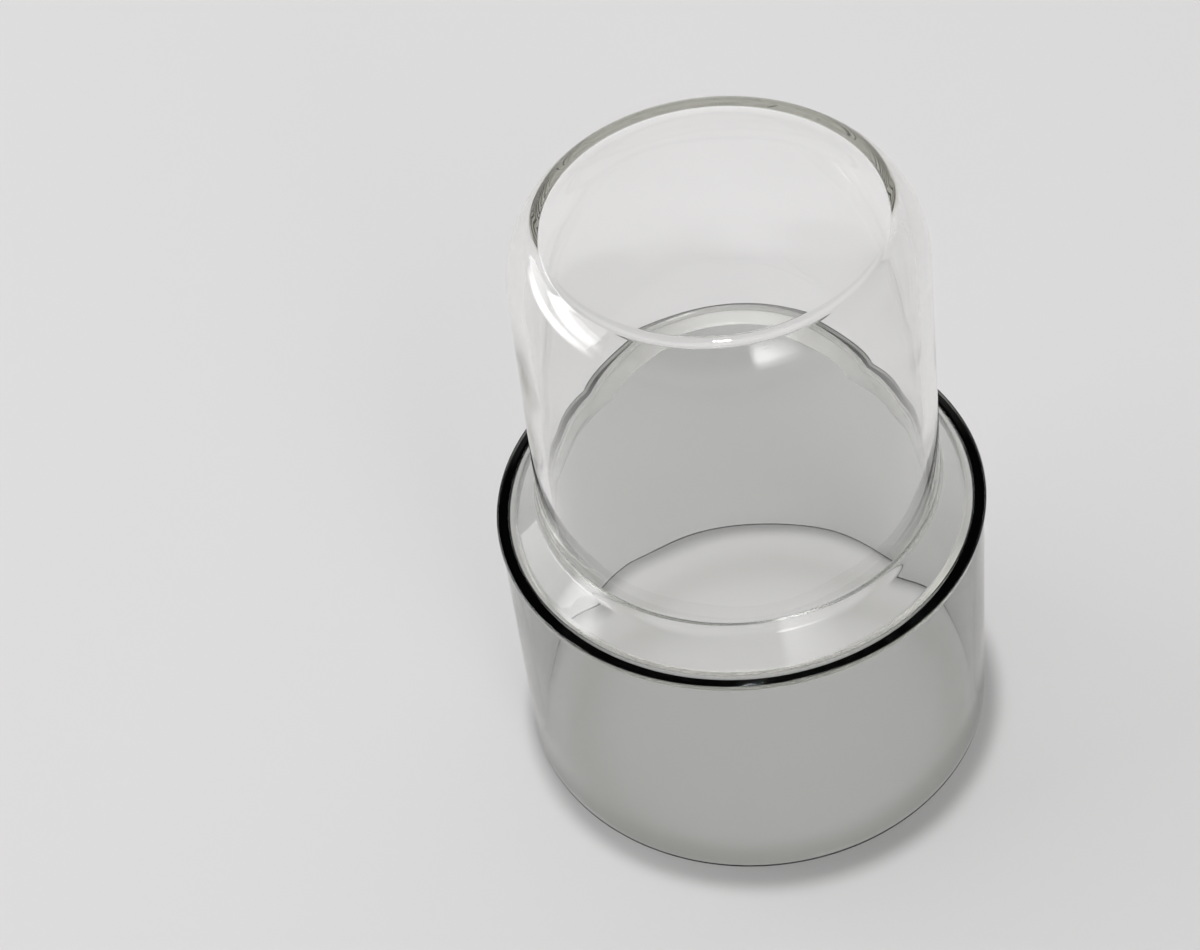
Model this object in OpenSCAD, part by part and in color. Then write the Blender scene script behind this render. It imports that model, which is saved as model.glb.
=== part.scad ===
// Tall two-tone drinking glass, stood upside down on its drinking edge.
// A clear closed-end section flares out and is fused inside a wider smoked tube.
// The drinking edge rests on z = 0, the axis is Z and the base faces up.

/* [Overall] */
// Height of the whole glass, from the drinking edge to the base
total_h = 116.2; // [100:0.2:140]

/* [Smoked bowl] */
// Outside diameter of the smoked wall
bowl_od = 83.4; // [76:0.2:96]
// Height of the smoked section, from the drinking edge to its swollen end
bowl_h = 51.6; // [40:0.2:62]
// Thickness of the smoked wall
bowl_wall = 2; // [1.5:0.1:3]
// How far the swollen end at the seam stands proud of the smoked wall
swell = 0.35; // [0.2:0.05:1]
// Height over which the swelling fades into the smoked wall
swell_h = 1.8; // [1:0.1:4]
// Radius of both roundings of the swollen end
end_r = 0.4; // [0.2:0.05:0.8]
// Width of the flat ground on the drinking edge, between its two roundings
land_w = 0.4; // [0.2:0.05:0.8]

/* [Clear wall and skirt] */
// Thickness of the clear wall
clear_wall = 2.45; // [1.6:0.05:3.4]
// Lean of the clear wall towards the axis as it rises, in degrees
lean = 1; // [0:0.1:3]
// How far the clear wall's outside steps in from the seam
shoulder_w = 5.3; // [4:0.1:8]
// Slope of the skirt's outside away from the axis, in degrees
skirt_a = 34; // [28:0.5:42]
// Outside radius of the bend where the skirt starts
bend_r = 1.2; // [0.6:0.1:3]
// Slope of the skirt's inside away from the axis, in degrees
throat_a = 45; // [40:0.5:52]
// Inside radius of the bend where the skirt starts
throat_r = 3.4; // [2:0.1:5]
// How far below the seam's top the skirt's inside would meet the smoked wall, were it not cut flat
throat_h = 4.4; // [3:0.1:7]
// Radius of the edge between the skirt's inside and the flat underside of its rim
rim_r = 0.6; // [0.3:0.1:1.5]
// Height of the fused seam on the skirt's rim
seam_h = 1.5; // [0.8:0.1:2.5]
// How far below the roundings of the swollen end the seam starts
seat_drop = 0.3; // [0:0.05:2]

/* [Base and heel] */
// Thickness of the base in the middle
base_t = 1.4; // [1:0.1:4]
// Outside radius of the heel, between the clear wall and the corner
heel_r = 14.1; // [10:0.1:20]
// Outside radius of the corner, between the heel and the flat base
corner_r = 3; // [1:0.1:5]
// How far the corner's centre lies inside the clear wall's outside
heel_in = 6.3; // [5.2:0.1:9]
// Radius of the hollow's heel, between its wall and its nook
hollow_r = 15; // [11:0.1:19]
// Radius of the hollow's nook, between its heel and its floor
nook_r = 0.45; // [0.3:0.05:1.5]
// How far the nook's centre lies inside the hollow's wall
floor_in = 3.95; // [3.4:0.05:6]
// Radius to which the hollow's floor is bowed
floor_r = 345; // [200:5:800]

/* [Hidden] */
$fn = 180;
// Steps in each rounded stretch of an outline
arc_steps = 24;

// Seam: the cylinder on which the skirt's rim is fused inside the smoked tube
bowl_r = bowl_od / 2;
seam_r = bowl_r - bowl_wall;
seam_top = bowl_h - end_r - seat_drop;
seam_low = seam_top - seam_h;

// Swelling: two equal arcs lead from the swollen end back to the smoked wall
swell_r = (swell_h * swell_h + swell * swell) / (4 * swell);
swell_a = 2 * atan(swell / swell_h);
swell_z = bowl_h - end_r;

// Bend: the skirt's outside turns away from the clear wall and runs straight to the seam
bend_x = seam_r - shoulder_w + bend_r / cos(lean);
bend_z = seam_top + (seam_r - bend_x + bend_r * cos(skirt_a)) / tan(skirt_a) + bend_r * sin(skirt_a);
bend_c = [bend_x, bend_z];

// Throat: the skirt's inside touches the clear wall's inside and runs straight down to the rim
throat_w = across(lean, [wall_r(bend_z), bend_z]) - clear_wall + throat_r;
throat_s = across(throat_a, [seam_r, seam_top - throat_h]);
throat_c = [throat_w * sin(throat_a) - (throat_s + throat_r) * sin(lean),
            (throat_s + throat_r) * cos(lean) - throat_w * cos(throat_a)] / sin(throat_a - lean);

// Rim: a rounded edge leads from the skirt's inside to the flat underside, which ends at the seam
rim_z = seam_low + rim_r;
rim_c = [(throat_s + rim_r - rim_z * sin(throat_a)) / cos(throat_a), rim_z];

// Heel: the corner touches the flat base, and the heel joins the corner to the clear wall
corner_c = inside(heel_in, total_h - corner_r);
heel_turn = lean + acos((heel_r - heel_in) / (heel_r - corner_r));
heel_c = corner_c - (heel_r - corner_r) * dir(heel_turn);

// Hollow: the nook touches the bowed floor, and the hollow's heel joins the nook to the wall
floor_c = [0, total_h - base_t - floor_r];
floor_w = inside(clear_wall + floor_in, floor_c[1]);
nook_c = floor_w + (floor_w[0] * sin(lean)
    + sqrt(pow(floor_r - nook_r, 2) - pow(floor_w[0] * cos(lean), 2))) * [-sin(lean), cos(lean)];
floor_end = atan2(nook_c[1] - floor_c[1], nook_c[0]);
nook_turn = lean + acos((hollow_r - floor_in) / (hollow_r - nook_r));
hollow_c = nook_c - (hollow_r - nook_r) * dir(nook_turn);

// Drinking edge: equal roundings on both sides of the flat
lip_r = (bowl_wall - land_w) / 2;

// Unit vector at angle a above the radius
function dir(a) = [cos(a), sin(a)];

// Distance of point p from the origin, measured along angle a
function across(a, p) = dir(a) * p;

// Outside radius of the clear wall at height z
function wall_r(z) = seam_r - shoulder_w - (z - bend_z) * tan(lean);

// Point at height z, set square to the clear wall by the inset
function inside(inset, z) = [wall_r(z) - inset / cos(lean), z];

// Points on an arc about c, from angle a0 to a1
function arc(c, r, a0, a1) =
    [for (i = [0:arc_steps]) c + r * dir(a0 + (a1 - a0) * i / arc_steps)];

// The same arc without its first point, for arcs that carry on from another one
function arc_on(c, r, a0, a1) =
    [for (i = [1:arc_steps]) c + r * dir(a0 + (a1 - a0) * i / arc_steps)];

// Clear section: base, heel, wall and skirt, then back along the hollow
module clear_base() {
    color([0.93, 0.95, 0.95, 0.35])
        rotate_extrude()
            polygon(concat(
                [[0, total_h]],
                arc(corner_c, corner_r, 90, heel_turn),
                arc_on(heel_c, heel_r, heel_turn, lean),
                arc(bend_c, bend_r, 180 + lean, 180 + skirt_a),
                [[seam_r, seam_top], [seam_r, seam_low]],
                arc(rim_c, rim_r, 270, 180 + throat_a),
                arc(throat_c, throat_r, 180 + throat_a, 180 + lean),
                arc(hollow_c, hollow_r, lean, nook_turn),
                arc_on(nook_c, nook_r, nook_turn, floor_end),
                arc_on(floor_c, floor_r, floor_end, 90)));
}

// Smoked section: swollen end over the seam, straight wall and fire-polished drinking edge
module smoked_bowl() {
    color([0.30, 0.31, 0.30, 0.7])
        rotate_extrude()
            polygon(concat(
                arc([seam_r + end_r, swell_z], end_r, 180, 90),
                arc([bowl_r + swell - end_r, swell_z], end_r, 90, 0),
                arc_on([bowl_r + swell - swell_r, swell_z], swell_r, 0, -swell_a),
                arc_on([bowl_r + swell_r, swell_z - swell_h], swell_r, 180 - swell_a, 180),
                arc([bowl_r - lip_r, lip_r], lip_r, 0, -90),
                arc([seam_r + lip_r, lip_r], lip_r, -90, -180)));
}

clear_base();
smoked_bowl();
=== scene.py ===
import math

import bpy
from mathutils import Matrix, Vector


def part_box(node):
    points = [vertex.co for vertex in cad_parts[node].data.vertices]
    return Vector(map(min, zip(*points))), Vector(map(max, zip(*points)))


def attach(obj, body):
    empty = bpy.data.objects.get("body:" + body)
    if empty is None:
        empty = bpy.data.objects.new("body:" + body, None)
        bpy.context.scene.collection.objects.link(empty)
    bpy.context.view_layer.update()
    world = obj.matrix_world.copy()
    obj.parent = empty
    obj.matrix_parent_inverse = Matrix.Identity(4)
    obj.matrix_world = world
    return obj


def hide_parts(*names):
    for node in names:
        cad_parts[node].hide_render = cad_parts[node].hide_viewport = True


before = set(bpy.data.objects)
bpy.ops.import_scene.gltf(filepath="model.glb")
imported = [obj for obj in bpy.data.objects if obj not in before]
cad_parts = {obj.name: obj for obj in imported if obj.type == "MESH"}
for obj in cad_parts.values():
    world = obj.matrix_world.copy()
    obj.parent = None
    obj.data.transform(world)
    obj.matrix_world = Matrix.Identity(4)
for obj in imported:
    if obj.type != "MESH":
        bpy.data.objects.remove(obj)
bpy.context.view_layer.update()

# Sizes of the glass in millimetres and degrees, the driving dimensions of the part's source
MM = 0.001
TOTAL_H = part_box("clear_base")[1][2] / MM
BOWL_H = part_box("smoked_bowl")[1][2] / MM
BOWL_OD = 83.4
BOWL_WALL = 2.0
SWELL = 0.35
SWELL_H = 1.8
END_R = 0.4
LAND_W = 0.4
CLEAR_WALL = 2.45
LEAN = 1.0
SHOULDER_W = 5.3
SKIRT_A = 34.0
BEND_R = 1.2
THROAT_A = 45.0
THROAT_R = 3.4
THROAT_H = 4.4
RIM_R = 0.6
SEAM_H = 1.5
SEAT_DROP = 0.3
BASE_T = 1.4
HEEL_R = 14.1
CORNER_R = 3.0
HEEL_IN = 6.3
HOLLOW_R = 15.0
NOOK_R = 0.45
FLOOR_IN = 3.95
FLOOR_R = 345.0

# How far the skirt's rim is melted into the smoked wall, in millimetres
MELT = 0.03

# Fineness of the meshes: steps round the axis, in an arc and along a line
ROUND_STEPS = 400
ARC_STEPS = 24
LINE_STEPS = 4

# Points closer than this are one point, in millimetres
WELD = 0.001

# Edges that turn by more than this stay sharp, in degrees
CREASE = 20.0

# Ripples of both glasses: how many to a metre and how deep, in millimetres
RIPPLE_SCALE = 60.0
CLEAR_RIPPLE = 0.24
SMOKE_RIPPLE = 0.06

# Smudges of both glasses: how many to a metre, how ragged, where the noise shows and how rough
SMUDGE_SCALE = 40.0
SMUDGE_DETAIL = 4.0
SMUDGE_SPAN = (0.55, 0.75)
SMUDGE_ROUGHNESS = 0.03

# Haze under the fused rim of the clear glass: how far it reaches, in millimetres, and how rough
HAZE_REACH = 0.25
HAZE_ROUGHNESS = 0.3

# Colours of the two glasses and how fast light is lost in them, per metre
GLASS_IOR = 1.47
CLEAR_COLOUR = (0.72, 0.71, 0.62, 1)
CLEAR_DENSITY = 16.0
SMOKE_COLOUR = (0.5, 0.515, 0.487, 1)
SMOKE_DENSITY = 378.0

# What a surface lets through to a shadow, where light meets it square and where it slants
SQUARE_TINT = (1, 1, 1, 1)
CLEAR_SLANT_TINT = (0.86, 0.86, 0.85, 1)
SMOKE_SLANT_TINT = (0.8, 0.8, 0.79, 1)
SLANT_BLEND = 0.5

# Camera of the photograph: place in metres, pitch below the horizon, roll and focal length
CAMERA_PLACE = (-0.0232, -0.3249, 0.4062)
CAMERA_PITCH = 46.70
CAMERA_ROLL = -8.43
CAMERA_LENS = 84.0
CAMERA_SENSOR = 36.0
CAMERA_NEAR = 0.01

# Table: the glow is an even level of its own, and the share is how much of it is seen
TABLE_SIZE = 4.0
TABLE_COLOUR = (0.80, 0.791, 0.793, 1)
TABLE_ROUGHNESS = 0.9
TABLE_GLOW = 0.87
TABLE_SHARE = 0.17

# Room and its dark ceiling: the span is how far up a direction points where one turns into the other
ROOM_LIGHT = 0.13
CEILING_LIGHT = 0.2 * ROOM_LIGHT
CEILING_SPAN = (0.66, 0.72)

# Pale low walls all round: the span is how far up a direction points where they fade out
WALL_LIGHT = 0.55
WALL_SPAN = (0.2, 0.38)

# Backdrop: it fades in towards the back, gets lighter as it rises and ends at an angle in degrees
BACKDROP_SPAN = (0.3, 0.55)
BACKDROP_LOW = 0.5
BACKDROP_HIGH = 1.3
BACKDROP_RISE = (0.42, 0.62)
BACKDROP_TOP = 44.0
BACKDROP_FADE = 2.5

# Window in front of the glass, on a plane 1 m away: each edge fades over a span, in metres
WINDOW = {
    "start": (0.13, 0.21),
    "end": (0.28, 0.75),
    "sill": (0.24, 0.5),
    "head": (0.55, 0.85),
    "light": 10.0,
}

# Low strip of light at the left of the glass, laid out as the window is
STRIP = {
    "start": (-0.35, 0.05),
    "end": (0.4, 0.85),
    "sill": (0.0, 0.09),
    "head": (0.09, 0.2),
    "light": 16.0,
}

# How far a direction has to point towards such a plane before it sees a pane on it
PANE_SPAN = (-0.1, -0.15)
PANE_NEAREST = 0.05

# Lamps: places and sizes in metres, power in watts and the point that they are aimed at
LAMP_AIM = (0, 0, 0.06)
OVERHEAD_PLACE = (-0.02, 0.1, 1.6)
OVERHEAD_SIZE = (0.11, 0.11)
OVERHEAD_POWER = 10.9
PANEL_PLACE = (-2.0, 0.52, 0.79)
PANEL_SIZE = (2.35, 0.9)
PANEL_POWER = 22.5

# How often light may turn on its way through the glass
BOUNCES = 32


def turned(angle):
    """Unit vector at an angle above the radius, in degrees."""
    return Vector((math.cos(math.radians(angle)), math.sin(math.radians(angle))))


class Outline:
    """Half outline of a round piece, traced in edit mode and then spun about the axis."""

    def __init__(self, name, r, z):
        bpy.ops.object.select_all(action="DESELECT")
        bpy.ops.mesh.primitive_plane_add(size=MM)
        self.piece = bpy.context.object
        self.piece.name = name
        self.piece.data.name = name
        bpy.ops.object.mode_set(mode="EDIT")
        bpy.ops.mesh.select_all(action="SELECT")
        bpy.ops.mesh.merge(type="CENTER")
        self.pen = Vector((r, z))
        bpy.ops.transform.translate(value=(r * MM, 0, z * MM))

    def line_to(self, r, z, steps=1):
        """Carries the outline straight on to a point."""
        move = (Vector((r, z)) - self.pen) / steps
        for _ in range(steps):
            step = (move.x * MM, 0, move.y * MM)
            bpy.ops.mesh.extrude_region_move(TRANSFORM_OT_translate={"value": step})
        self.pen = Vector((r, z))

    def arc(self, centre, radius, start, end):
        """Goes straight to the start of an arc, if it isn't there yet, and then round it."""
        first = centre + radius * turned(start)
        if (first - self.pen).length > WELD:
            self.line_to(first.x, first.y, LINE_STEPS)
        bpy.ops.mesh.spin(steps=ARC_STEPS, angle=math.radians(end - start),
                          center=(centre.x * MM, 0, centre.y * MM), axis=(0, 1, 0))
        self.pen = centre + radius * turned(end)

    def spun(self):
        """Spins the outline round the axis, welds its seam and poles and shades it smooth."""
        bpy.ops.mesh.select_all(action="SELECT")
        bpy.ops.mesh.spin(steps=ROUND_STEPS, angle=2 * math.pi, center=(0, 0, 0), axis=(0, 0, 1))
        bpy.ops.mesh.select_all(action="SELECT")
        bpy.ops.mesh.remove_doubles(threshold=WELD * MM)
        bpy.ops.mesh.normals_make_consistent(inside=False)
        bpy.ops.object.mode_set(mode="OBJECT")
        bpy.ops.object.shade_smooth_by_angle(angle=math.radians(CREASE))
        return self.piece


# Seam cylinder and the levels on it
BOWL_R = BOWL_OD / 2
SEAM_R = BOWL_R - BOWL_WALL
END_Z = BOWL_H - END_R
SEAM_TOP = END_Z - SEAT_DROP
SEAM_LOW = SEAM_TOP - SEAM_H

# Bend of the skirt's outside
BEND_X = SEAM_R - SHOULDER_W + BEND_R / math.cos(math.radians(LEAN))
BEND_RUN = SEAM_R - BEND_X + BEND_R * turned(SKIRT_A).x
BEND_Z = SEAM_TOP + BEND_RUN / math.tan(math.radians(SKIRT_A)) + BEND_R * turned(SKIRT_A).y


def wall_r(z):
    """Outside radius of the clear wall at height z."""
    return SEAM_R - SHOULDER_W - (z - BEND_Z) * math.tan(math.radians(LEAN))


def inside(inset, z):
    """Point at height z, set square to the clear wall by the inset."""
    return Vector((wall_r(z) - inset / math.cos(math.radians(LEAN)), z))


def blended_turn(large, small, inset):
    """Angle at which a small rounding hands over to a large one that touches the wall."""
    return LEAN + math.degrees(math.acos((large - inset) / (large - small)))


def skirt_inside():
    """Distance of the skirt's sloping inside from the origin, square to the slope."""
    return turned(THROAT_A).dot(Vector((SEAM_R, SEAM_TOP - THROAT_H)))


def throat_centre():
    """Centre of the inner bend, which touches the wall's inside and the skirt's inside."""
    to_wall = turned(LEAN).dot(Vector((wall_r(BEND_Z), BEND_Z))) - CLEAR_WALL + THROAT_R
    to_skirt = skirt_inside() + THROAT_R
    r = to_wall * turned(THROAT_A).y - to_skirt * turned(LEAN).y
    z = to_skirt * turned(LEAN).x - to_wall * turned(THROAT_A).x
    return Vector((r, z)) / turned(THROAT_A - LEAN).y


def rim_centre():
    """Centre of the rim's edge, which touches the skirt's inside and the flat underside."""
    z = SEAM_LOW + RIM_R
    return Vector(((skirt_inside() + RIM_R - z * turned(THROAT_A).y) / turned(THROAT_A).x, z))


def nook_centre():
    """Centre of the nook, which lies inside the hollow's wall and touches its bowed floor."""
    foot = inside(CLEAR_WALL + FLOOR_IN, TOTAL_H - BASE_T - FLOOR_R)
    reach = math.sqrt((FLOOR_R - NOOK_R) ** 2 - (foot.x * turned(LEAN).x) ** 2)
    return foot + (foot.x * turned(LEAN).y + reach) * turned(LEAN + 90)


def make_clear_base():
    """Base, heel, wall and skirt, then back along the hollow."""
    corner_c = inside(HEEL_IN, TOTAL_H - CORNER_R)
    heel_turn = blended_turn(HEEL_R, CORNER_R, HEEL_IN)
    heel_c = corner_c - (HEEL_R - CORNER_R) * turned(heel_turn)
    nook_c = nook_centre()
    nook_turn = blended_turn(HOLLOW_R, NOOK_R, FLOOR_IN)
    hollow_c = nook_c - (HOLLOW_R - NOOK_R) * turned(nook_turn)
    floor_c = Vector((0, TOTAL_H - BASE_T - FLOOR_R))
    floor_end = math.degrees(math.atan2(nook_c.y - floor_c.y, nook_c.x))

    outline = Outline("clear_glass_base", 0, TOTAL_H)
    outline.arc(corner_c, CORNER_R, 90, heel_turn)
    outline.arc(heel_c, HEEL_R, heel_turn, LEAN)
    outline.arc(Vector((BEND_X, BEND_Z)), BEND_R, 180 + LEAN, 180 + SKIRT_A)
    outline.line_to(SEAM_R, SEAM_TOP, LINE_STEPS)
    outline.line_to(SEAM_R + MELT, SEAM_TOP)
    outline.line_to(SEAM_R + MELT, SEAM_LOW, LINE_STEPS)
    outline.line_to(SEAM_R, SEAM_LOW)
    outline.arc(rim_centre(), RIM_R, 270, 180 + THROAT_A)
    outline.arc(throat_centre(), THROAT_R, 180 + THROAT_A, 180 + LEAN)
    outline.arc(hollow_c, HOLLOW_R, LEAN, nook_turn)
    outline.arc(nook_c, NOOK_R, nook_turn, floor_end)
    outline.arc(floor_c, FLOOR_R, floor_end, 90)
    return outline.spun()


def make_smoked_bowl():
    """Swollen end over the seam, straight wall and fire-polished drinking edge."""
    lip_r = (BOWL_WALL - LAND_W) / 2
    swell_r = (SWELL_H ** 2 + SWELL ** 2) / (4 * SWELL)
    swell_a = 2 * math.degrees(math.atan(SWELL / SWELL_H))

    outline = Outline("smoked_glass_bowl", SEAM_R, SEAM_LOW)
    outline.arc(Vector((SEAM_R + END_R, END_Z)), END_R, 180, 90)
    outline.arc(Vector((BOWL_R + SWELL - END_R, END_Z)), END_R, 90, 0)
    outline.arc(Vector((BOWL_R + SWELL - swell_r, END_Z)), swell_r, 0, -swell_a)
    outline.arc(Vector((BOWL_R + swell_r, END_Z - SWELL_H)), swell_r, 180 - swell_a, 180)
    outline.arc(Vector((BOWL_R - lip_r, lip_r)), lip_r, 0, -90)
    outline.arc(Vector((SEAM_R + lip_r, lip_r)), lip_r, -90, -180)
    outline.line_to(SEAM_R, SEAM_LOW, LINE_STEPS)
    return outline.spun()


def feed(tree, value, socket):
    """Gives a socket what another node puts out, or a plain value."""
    if isinstance(value, bpy.types.NodeSocket):
        tree.links.new(value, socket)
    else:
        socket.default_value = value


def reckon(tree, operation, *values):
    """Result of one sum on the values."""
    node = tree.nodes.new("ShaderNodeMath")
    node.operation = operation
    for value, socket in zip(values, node.inputs):
        feed(tree, value, socket)
    return node.outputs["Value"]


def ramp(tree, value, span, low=0.0, high=1.0):
    """Goes from low to high while the value goes through the span."""
    node = tree.nodes.new("ShaderNodeMapRange")
    settings = {"Value": value, "From Min": span[0], "From Max": span[1], "To Min": low, "To Max": high}
    for name, setting in settings.items():
        feed(tree, setting, node.inputs[name])
    return node.outputs["Result"]


def noise(tree, place, scale, detail):
    """Cloudy noise in space."""
    node = tree.nodes.new("ShaderNodeTexNoise")
    for name, setting in {"Vector": place, "Scale": scale, "Detail": detail}.items():
        feed(tree, setting, node.inputs[name])
    return node.outputs["Fac"]


def split(tree, vector):
    """The three parts of a vector."""
    node = tree.nodes.new("ShaderNodeSeparateXYZ")
    tree.links.new(vector, node.inputs["Vector"])
    return node.outputs["X"], node.outputs["Y"], node.outputs["Z"]


def show(tree, factor, one, other):
    """Makes a material show one shader where the factor is 0 and the other where it is 1."""
    mix = tree.nodes.new("ShaderNodeMixShader")
    for value, socket in zip((factor, one, other), mix.inputs):
        tree.links.new(value, socket)
    tree.links.new(mix.outputs["Shader"], tree.nodes["Material Output"].inputs["Surface"])


def worked_surface():
    """Node group: slow ripples, faint smudges and a hazy seam, as on glass shaped hot by hand."""
    group = bpy.data.node_groups.new("hot_worked_surface", "ShaderNodeTree")
    for name in ("Ripple Scale", "Smudge", "Seam Haze"):
        group.interface.new_socket(name, in_out="INPUT", socket_type="NodeSocketFloat")
    for name in ("Roughness", "Height"):
        group.interface.new_socket(name, in_out="OUTPUT", socket_type="NodeSocketFloat")
    given = group.nodes.new("NodeGroupInput").outputs
    result = group.nodes.new("NodeGroupOutput").inputs
    place = group.nodes.new("ShaderNodeTexCoord").outputs["Object"]

    group.links.new(noise(group, place, given["Ripple Scale"], 0.0), result["Height"])

    smudges = noise(group, place, SMUDGE_SCALE, SMUDGE_DETAIL)
    smudges = ramp(group, smudges, SMUDGE_SPAN, 0.0, given["Smudge"])
    height = split(group, place)[2]
    off_seam = reckon(group, "ABSOLUTE", reckon(group, "SUBTRACT", height, SEAM_LOW * MM))
    haze = ramp(group, off_seam, (HAZE_REACH * MM, 0.0), 0.0, given["Seam Haze"])
    group.links.new(reckon(group, "MAXIMUM", smudges, haze), result["Roughness"])
    return group


def glass(name, surface, ripple_depth, seam_haze, slant_tint, colour, density):
    """Polished tinted glass whose walls let light through to what is inside."""
    material = bpy.data.materials.new(name)
    material.use_nodes = True
    tree = material.node_tree
    body = tree.nodes["Principled BSDF"]
    body.inputs["Base Color"].default_value = (1, 1, 1, 1)
    body.inputs["Transmission Weight"].default_value = 1.0
    body.inputs["IOR"].default_value = GLASS_IOR

    finish = tree.nodes.new("ShaderNodeGroup")
    finish.node_tree = surface
    finish.inputs["Ripple Scale"].default_value = RIPPLE_SCALE
    finish.inputs["Smudge"].default_value = SMUDGE_ROUGHNESS
    finish.inputs["Seam Haze"].default_value = seam_haze
    tree.links.new(finish.outputs["Roughness"], body.inputs["Roughness"])
    bump = tree.nodes.new("ShaderNodeBump")
    bump.inputs["Strength"].default_value = 1.0
    bump.inputs["Distance"].default_value = ripple_depth * MM
    tree.links.new(finish.outputs["Height"], bump.inputs["Height"])
    tree.links.new(bump.outputs["Normal"], body.inputs["Normal"])

    # Light that makes shadows goes straight through, and less of it where the glass slants
    slant = tree.nodes.new("ShaderNodeLayerWeight")
    slant.inputs["Blend"].default_value = SLANT_BLEND
    passed = tree.nodes.new("ShaderNodeMix")
    passed.data_type = "RGBA"
    passed.inputs["A"].default_value = SQUARE_TINT
    passed.inputs["B"].default_value = slant_tint
    tree.links.new(slant.outputs["Facing"], passed.inputs["Factor"])
    straight = tree.nodes.new("ShaderNodeBsdfTransparent")
    tree.links.new(passed.outputs["Result"], straight.inputs["Color"])
    rays = tree.nodes.new("ShaderNodeLightPath").outputs
    shadow = reckon(tree, "MAXIMUM", rays["Is Shadow Ray"], rays["Is Diffuse Ray"])
    show(tree, shadow, body.outputs["BSDF"], straight.outputs["BSDF"])

    # Light is lost on its way inside the glass
    loss = tree.nodes.new("ShaderNodeVolumeAbsorption")
    loss.inputs["Color"].default_value = colour
    loss.inputs["Density"].default_value = density
    tree.links.new(loss.outputs["Volume"], tree.nodes["Material Output"].inputs["Volume"])
    return material


def make_table():
    """Pale matt table, seen by the camera and in the glass with a share of an even level."""
    bpy.ops.object.select_all(action="DESELECT")
    bpy.ops.mesh.primitive_plane_add(size=TABLE_SIZE)
    table = bpy.context.object
    table.name = "table"
    material = bpy.data.materials.new("matt_table")
    material.use_nodes = True
    tree = material.node_tree
    body = tree.nodes["Principled BSDF"]
    body.inputs["Base Color"].default_value = TABLE_COLOUR
    body.inputs["Roughness"].default_value = TABLE_ROUGHNESS
    body.inputs["Specular IOR Level"].default_value = 0.0
    level = tree.nodes.new("ShaderNodeEmission")
    level.inputs["Color"].default_value = TABLE_COLOUR
    level.inputs["Strength"].default_value = TABLE_GLOW
    rays = tree.nodes.new("ShaderNodeLightPath").outputs
    in_glass = reckon(tree, "MAXIMUM", rays["Is Glossy Ray"], rays["Is Transmission Ray"])
    seen = reckon(tree, "MAXIMUM", rays["Is Camera Ray"], in_glass)
    share = reckon(tree, "MULTIPLY", seen, TABLE_SHARE)
    show(tree, share, body.outputs["BSDF"], level.outputs["Emission"])
    table.data.materials.append(material)


def soft_pane(tree, toward, sideways, up, pane):
    """Light of a pane with soft edges, on a plane 1 m away where the direction toward it is negative."""
    depth = ramp(tree, toward, (-PANE_NEAREST, -1.0), PANE_NEAREST, 1.0)
    across = reckon(tree, "DIVIDE", sideways, depth)
    height = reckon(tree, "DIVIDE", up, depth)
    light = ramp(tree, across, pane["start"])
    light = reckon(tree, "MULTIPLY", light, ramp(tree, across, pane["end"], 1.0, 0.0))
    light = reckon(tree, "MULTIPLY", light, ramp(tree, height, pane["sill"]))
    light = reckon(tree, "MULTIPLY", light, ramp(tree, height, pane["head"], pane["light"], 0.0))
    return reckon(tree, "MULTIPLY", light, ramp(tree, toward, PANE_SPAN))


def light_room():
    """Dim room: pale low walls, a backdrop behind the table, a window and a dark ceiling."""
    world = bpy.data.worlds.new("room")
    bpy.context.scene.world = world
    world.use_nodes = True
    tree = world.node_tree
    right, back, up = split(tree, tree.nodes.new("ShaderNodeTexCoord").outputs["Generated"])

    edge = [math.sin(math.radians(BACKDROP_TOP + fade)) for fade in (0.0, BACKDROP_FADE)]
    backdrop = reckon(tree, "MULTIPLY", ramp(tree, back, BACKDROP_SPAN), ramp(tree, up, edge, 1.0, 0.0))
    rise = ramp(tree, up, BACKDROP_RISE, BACKDROP_LOW, BACKDROP_HIGH)
    backdrop = reckon(tree, "MULTIPLY", backdrop, rise)
    walls = reckon(tree, "MAXIMUM", backdrop, ramp(tree, up, WALL_SPAN, WALL_LIGHT, 0.0))
    room = ramp(tree, up, CEILING_SPAN, ROOM_LIGHT, CEILING_LIGHT)
    window = soft_pane(tree, back, right, up, WINDOW)

    # The strip shows only in reflections
    rays = tree.nodes.new("ShaderNodeLightPath").outputs
    strip = reckon(tree, "MULTIPLY", soft_pane(tree, right, back, up, STRIP), rays["Is Glossy Ray"])

    light = reckon(tree, "ADD", reckon(tree, "ADD", walls, room), reckon(tree, "ADD", window, strip))
    background = tree.nodes["Background"]
    background.inputs["Color"].default_value = (1, 1, 1, 1)
    tree.links.new(light, background.inputs["Strength"])


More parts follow.
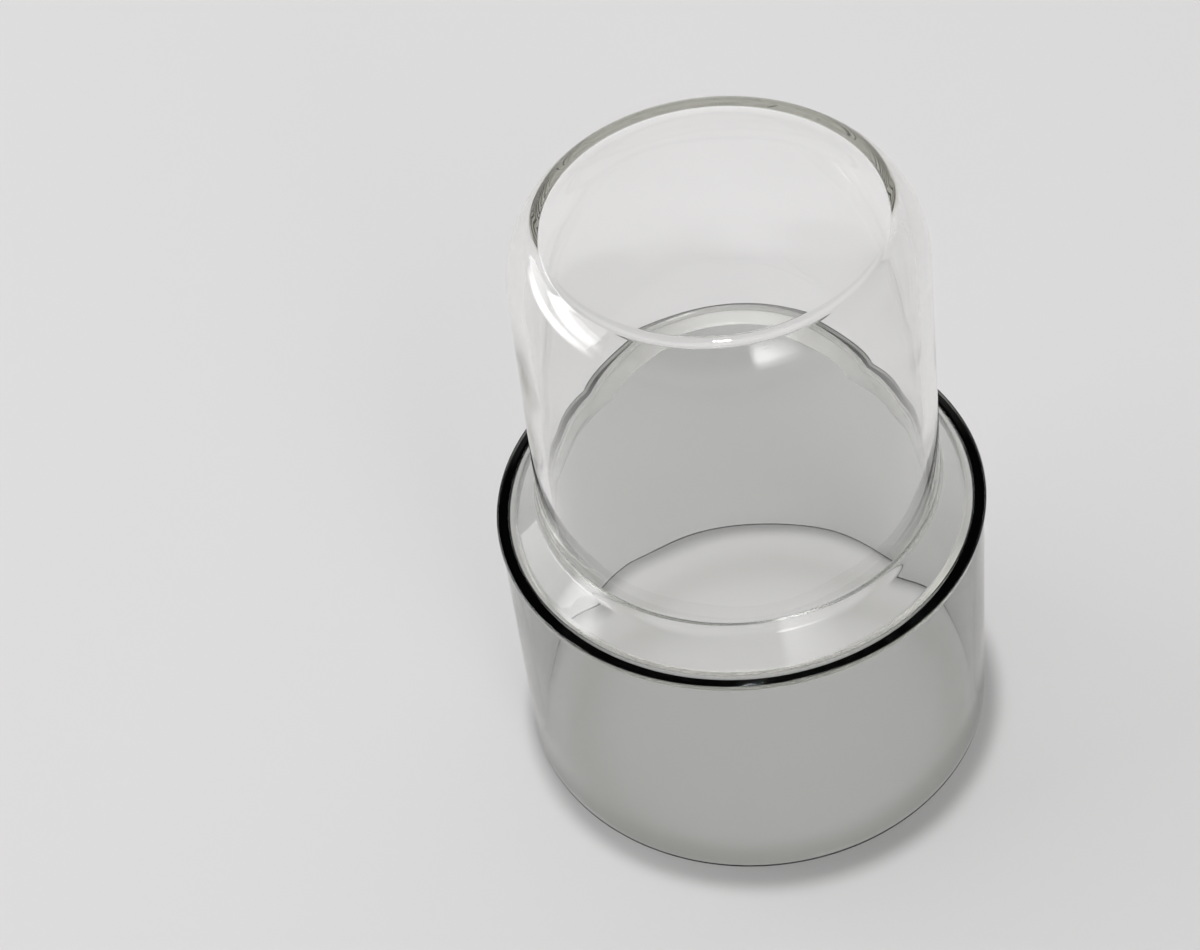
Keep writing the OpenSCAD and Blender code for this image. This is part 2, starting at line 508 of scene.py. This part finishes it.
def add_lamp(name, place, size, power):
    """Soft rectangular lamp aimed at the glass and hidden from direct view."""
    lamp = bpy.data.lights.new(name, "AREA")
    lamp.shape = "RECTANGLE"
    lamp.size, lamp.size_y = size
    lamp.energy = power
    stand = bpy.data.objects.new(name, lamp)
    stand.location = place
    stand.visible_camera = False
    stand.rotation_euler = (Vector(LAMP_AIM) - Vector(place)).to_track_quat("-Z", "Y").to_euler()
    bpy.context.collection.objects.link(stand)


def add_camera():
    """Camera at the photograph's place and angle."""
    camera = bpy.data.cameras.new("camera")
    camera.sensor_fit = "HORIZONTAL"
    camera.sensor_width = CAMERA_SENSOR
    camera.lens = CAMERA_LENS
    camera.clip_start = CAMERA_NEAR
    mount = bpy.data.objects.new("camera", camera)
    pitch = Matrix.Rotation(math.radians(90 - CAMERA_PITCH), 4, "X")
    roll = Matrix.Rotation(math.radians(CAMERA_ROLL), 4, "Z")
    mount.matrix_world = Matrix.Translation(CAMERA_PLACE) @ pitch @ roll
    bpy.context.collection.objects.link(mount)
    bpy.context.scene.camera = mount


def dress(piece, node, material):
    """Puts a finished piece in the place of its CAD node."""
    piece.data.materials.append(material)
    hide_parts(node)
    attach(piece, "root")


surface = worked_surface()
clear_glass = glass("clear_glass", surface, CLEAR_RIPPLE, HAZE_ROUGHNESS,
                    CLEAR_SLANT_TINT, CLEAR_COLOUR, CLEAR_DENSITY)
smoked_glass = glass("smoked_glass", surface, SMOKE_RIPPLE, 0.0,
                     SMOKE_SLANT_TINT, SMOKE_COLOUR, SMOKE_DENSITY)
dress(make_clear_base(), "clear_base", clear_glass)
dress(make_smoked_bowl(), "smoked_bowl", smoked_glass)

make_table()
light_room()
add_lamp("overhead", OVERHEAD_PLACE, OVERHEAD_SIZE, OVERHEAD_POWER)
add_lamp("side_panel", PANEL_PLACE, PANEL_SIZE, PANEL_POWER)
add_camera()
scene = bpy.context.scene
scene.view_settings.view_transform = "Standard"
scene.cycles.max_bounces = BOUNCES
scene.cycles.transmission_bounces = BOUNCES
scene.cycles.glossy_bounces = BOUNCES
scene.cycles.transparent_max_bounces = BOUNCES
